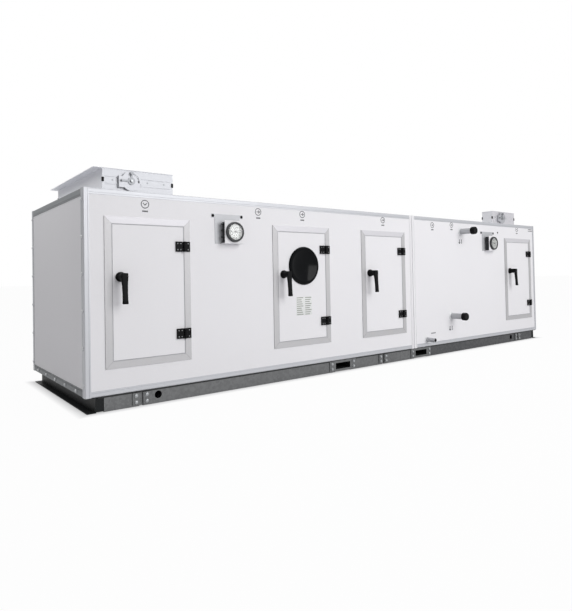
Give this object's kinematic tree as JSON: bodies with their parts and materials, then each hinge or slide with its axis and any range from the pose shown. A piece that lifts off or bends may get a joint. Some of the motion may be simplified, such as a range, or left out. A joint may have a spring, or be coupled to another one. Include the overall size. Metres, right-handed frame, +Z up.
{
  "type": "air handling unit",
  "caption": "Long box-shaped air handling unit on a steel base, with hinged doors, a round sight glass, roof dampers, dial gauges and capped coil pipes.",
  "frame": {"origin": "middle of the base underside, on the floor", "axes": "+X along the unit from the return end to the supply end, -Y out of the door side, +Z up"},
  "size_m": [4.46, 1.266, 1.265],
  "materials": {
    "galvanised_steel": "galvanised, matt",
    "anodised_aluminium": "natural anodised",
    "white_panel": "powder coated, satin",
    "black_plastic": "moulded, fine grain",
    "gauge_case": "die cast, grey lacquer",
    "black_rubber": "extruded rubber",
    "sight_glass": "polished",
    "steel_pipe": "drawn steel",
    "collar_plastic": "moulded"
  },
  "bodies": {
    "casing": {"base_side_rails": "galvanised_steel", "base_end_rails": "galvanised_steel", "base_cross_rails": "galvanised_steel", "corner_gussets": "galvanised_steel", "fork_pockets": "galvanised_steel", "rail_joint_plates": "galvanised_steel", "damper_quadrants": "galvanised_steel", "casing_posts": "anodised_aluminium", "casing_long_rails": "anodised_aluminium", "casing_cross_rails": "anodised_aluminium", "door_frame_1": "anodised_aluminium", "door_frame_2": "anodised_aluminium", "door_frame_3": "anodised_aluminium", "door_frame_4": "anodised_aluminium", "return_damper_frame": "anodised_aluminium", "supply_damper_frame": "anodised_aluminium", "floor_panels": "white_panel", "roof_panels": "white_panel", "rear_panels": "white_panel", "end_panels": "white_panel", "front_bands": "white_panel", "front_panels": "white_panel", "gauge_brackets": "white_panel", "frame_hinges": "black_plastic", "pipe_caps": "black_plastic", "pressure_gauges": "gauge_case", "section_gasket": "black_rubber", "coil_pipes": "steel_pipe", "drain_pipe": "steel_pipe", "pipe_collars": "collar_plastic"},
    "door_1": {"door_leaf_1": "white_panel", "door_fittings_1": "black_plastic"},
    "handle_1": {"door_handle_1": "black_plastic"},
    "door_2": {"door_leaf_2": "white_panel", "door_fittings_2": "black_plastic", "sight_glass_ring": "black_rubber", "sight_glass_pane": "sight_glass"},
    "handle_2": {"door_handle_2": "black_plastic"},
    "door_3": {"door_leaf_3": "white_panel", "door_fittings_3": "black_plastic"},
    "handle_3": {"door_handle_3": "black_plastic"},
    "door_4": {"door_leaf_4": "white_panel", "door_fittings_4": "black_plastic"},
    "handle_4": {"door_handle_4": "black_plastic"},
    "return_vane_1": {"return_blade_1": "anodised_aluminium"},
    "return_vane_2": {"return_blade_2": "anodised_aluminium", "return_lever": "galvanised_steel"},
    "return_vane_3": {"return_blade_3": "anodised_aluminium"},
    "return_vane_4": {"return_blade_4": "anodised_aluminium"},
    "supply_vane_1": {"supply_blade_1": "anodised_aluminium"},
    "supply_vane_2": {"supply_blade_2": "anodised_aluminium", "supply_lever": "galvanised_steel"},
    "supply_vane_3": {"supply_blade_3": "anodised_aluminium"},
    "supply_vane_4": {"supply_blade_4": "anodised_aluminium"}
  },
  "joints": [
    {"name": "door_1_hinge", "type": "hinge", "parent": "casing", "child": "door_1", "pos_m": [-1.6855, -0.573, 0.602], "axis": [0, 0, 1], "range_deg": [0, 120]},
    {"name": "handle_1_turn", "type": "hinge", "parent": "door_1", "child": "handle_1", "pos_m": [-2.047, -0.59, 0.68], "axis": [0, -1, 0], "range_deg": [0, 90]},
    {"name": "door_2_hinge", "type": "hinge", "parent": "casing", "child": "door_2", "pos_m": [-0.6265, -0.573, 0.602], "axis": [0, 0, 1], "range_deg": [0, 120]},
    {"name": "handle_2_turn", "type": "hinge", "parent": "door_2", "child": "handle_2", "pos_m": [-0.988, -0.59, 0.68], "axis": [0, -1, 0], "range_deg": [0, 90]},
    {"name": "door_3_hinge", "type": "hinge", "parent": "casing", "child": "door_3", "pos_m": [0.1685, -0.573, 0.602], "axis": [0, 0, 1], "range_deg": [0, 120]},
    {"name": "handle_3_turn", "type": "hinge", "parent": "door_3", "child": "handle_3", "pos_m": [-0.193, -0.59, 0.68], "axis": [0, -1, 0], "range_deg": [0, 90]},
    {"name": "door_4_hinge", "type": "hinge", "parent": "casing", "child": "door_4", "pos_m": [2.1045, -0.573, 0.602], "axis": [0, 0, 1], "range_deg": [0, 120]},
    {"name": "handle_4_turn", "type": "hinge", "parent": "door_4", "child": "handle_4", "pos_m": [1.743, -0.59, 0.68], "axis": [0, -1, 0], "range_deg": [0, 90]},
    {"name": "return_vane_1_turn", "type": "hinge", "parent": "casing", "child": "return_vane_1", "pos_m": [-2.03837, 0, 1.202], "axis": [0, 1, 0], "range_deg": [-90, 0]},
    {"name": "return_vane_2_turn", "type": "hinge", "parent": "casing", "child": "return_vane_2", "pos_m": [-1.94013, 0, 1.202], "axis": [0, 1, 0], "range_deg": [0, 90]},
    {"name": "return_vane_3_turn", "type": "hinge", "parent": "casing", "child": "return_vane_3", "pos_m": [-1.84187, 0, 1.202], "axis": [0, 1, 0], "range_deg": [-90, 0]},
    {"name": "return_vane_4_turn", "type": "hinge", "parent": "casing", "child": "return_vane_4", "pos_m": [-1.74362, 0, 1.202], "axis": [0, 1, 0], "range_deg": [0, 90]},
    {"name": "supply_vane_1_turn", "type": "hinge", "parent": "casing", "child": "supply_vane_1", "pos_m": [1.72463, -0.386, 1.202], "axis": [0, 1, 0], "range_deg": [-90, 0]},
    {"name": "supply_vane_2_turn", "type": "hinge", "parent": "casing", "child": "supply_vane_2", "pos_m": [1.82288, -0.386, 1.202], "axis": [0, 1, 0], "range_deg": [0, 90]},
    {"name": "supply_vane_3_turn", "type": "hinge", "parent": "casing", "child": "supply_vane_3", "pos_m": [1.92112, -0.386, 1.202], "axis": [0, 1, 0], "range_deg": [-90, 0]},
    {"name": "supply_vane_4_turn", "type": "hinge", "parent": "casing", "child": "supply_vane_4", "pos_m": [2.01938, -0.386, 1.202], "axis": [0, 1, 0], "range_deg": [0, 90]}
  ],
  "couplings": [
    {"joint": "return_vane_1_turn", "follows": "return_vane_2_turn", "ratio": -1},
    {"joint": "return_vane_3_turn", "follows": "return_vane_2_turn", "ratio": -1},
    {"joint": "return_vane_4_turn", "follows": "return_vane_2_turn", "ratio": 1},
    {"joint": "supply_vane_1_turn", "follows": "supply_vane_2_turn", "ratio": -1},
    {"joint": "supply_vane_3_turn", "follows": "supply_vane_2_turn", "ratio": -1},
    {"joint": "supply_vane_4_turn", "follows": "supply_vane_2_turn", "ratio": 1}
  ]
}
